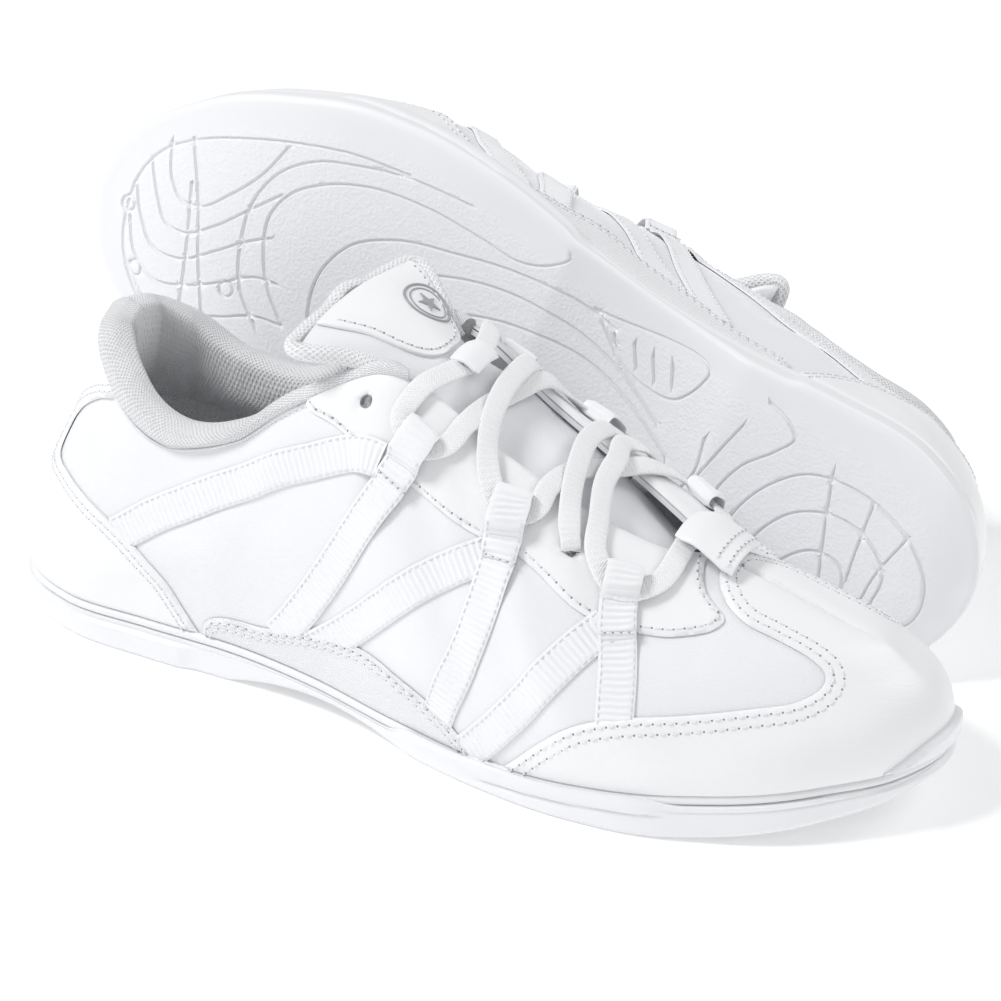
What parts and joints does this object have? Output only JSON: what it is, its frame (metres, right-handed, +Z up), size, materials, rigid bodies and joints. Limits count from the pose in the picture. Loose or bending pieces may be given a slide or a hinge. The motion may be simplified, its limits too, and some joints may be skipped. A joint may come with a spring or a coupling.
{
  "type": "pair of cheer shoes",
  "caption": "Low lace-up cheer shoes with flat rubber soles, webbing lace straps, padded collars and tilting tongues, the left leaning on its side behind the right.",
  "frame": {"origin": "on the floor under the ball of the right shoe, on its heel-to-toe line", "axes": "+X from heel to toe of the right shoe, +Y to its medial side where the left shoe leans, +Z up from the floor"},
  "size_m": [0.2794, 0.2075, 0.1283],
  "materials": {
    "rubber": "matte moulded rubber with a pebbled tread",
    "foam": "matte foam edge",
    "board": "matte fibre board",
    "satin": "satin-faced synthetic with a soft sheen",
    "leather": "smooth synthetic leather, semi-matte, edge stitched",
    "webbing": "ribbed woven webbing",
    "binding": "fine textured fabric",
    "mesh": "knitted spacer mesh over foam",
    "lining": "dark matte textile",
    "stiffener": "matte moulded heel stiffener",
    "lace": "flat woven lace",
    "emblem": "thin raised transfer, satin"
  },
  "bodies": {
    "right_shoe": {"right_outsole": "rubber", "right_midsole": "foam", "right_insole_board": "board", "right_sock_liner": "mesh", "right_toe_bumper": "rubber", "right_quarter_lateral": "satin", "right_quarter_medial": "satin", "right_vamp": "satin", "right_eyestay_lateral": "leather", "right_eyestay_medial": "leather", "right_saddle_lateral": "binding", "right_saddle_medial": "binding", "right_heel_overlay": "leather", "right_toe_cap": "leather", "right_strap_lateral_1": "webbing", "right_strap_lateral_2": "webbing", "right_strap_lateral_3": "webbing", "right_strap_medial_1": "webbing", "right_strap_medial_2": "webbing", "right_strap_medial_3": "webbing", "right_heel_counter": "stiffener", "right_lining": "lining", "right_collar_padding": "mesh", "right_tongue_base": "satin", "right_tongue_lace_loop": "webbing", "right_lace_keeper": "leather", "right_lace": "lace"},
    "right_tongue": {"right_tongue_top": "satin", "right_tongue_patch": "leather", "right_tongue_emblem": "emblem"},
    "left_shoe": {"left_outsole": "rubber", "left_midsole": "foam", "left_insole_board": "board", "left_sock_liner": "mesh", "left_toe_bumper": "rubber", "left_quarter_lateral": "satin", "left_quarter_medial": "satin", "left_vamp": "satin", "left_eyestay_lateral": "leather", "left_eyestay_medial": "leather", "left_saddle_lateral": "binding", "left_saddle_medial": "binding", "left_heel_overlay": "leather", "left_toe_cap": "leather", "left_strap_lateral_1": "webbing", "left_strap_lateral_2": "webbing", "left_strap_lateral_3": "webbing", "left_strap_medial_1": "webbing", "left_strap_medial_2": "webbing", "left_strap_medial_3": "webbing", "left_heel_counter": "stiffener", "left_lining": "lining", "left_collar_padding": "mesh", "left_tongue_base": "satin", "left_tongue_lace_loop": "webbing", "left_lace_keeper": "leather", "left_lace": "lace"},
    "left_tongue": {"left_tongue_top": "satin", "left_tongue_patch": "leather", "left_tongue_emblem": "emblem"}
  },
  "joints": [
    {"name": "right_tongue_tilt", "type": "hinge", "parent": "right_shoe", "child": "right_tongue", "pos_m": [-0.037, 0, 0.092], "axis": [0, 1, 0], "range_deg": [-10, 30], "stiffness_Nm_per_rad": 0.08},
    {"name": "left_shoe_lift", "type": "slide", "parent": "right_shoe", "child": "left_shoe", "axis": [0, 0.6, 0.8], "range_m": [0, 0.15]},
    {"name": "left_tongue_tilt", "type": "hinge", "parent": "left_shoe", "child": "left_tongue", "pos_m": [-0.04757, 0.13746, 0.0422], "axis": [0.2529, 0.2679, 0.9297], "range_deg": [-10, 30], "stiffness_Nm_per_rad": 0.08}
  ]
}
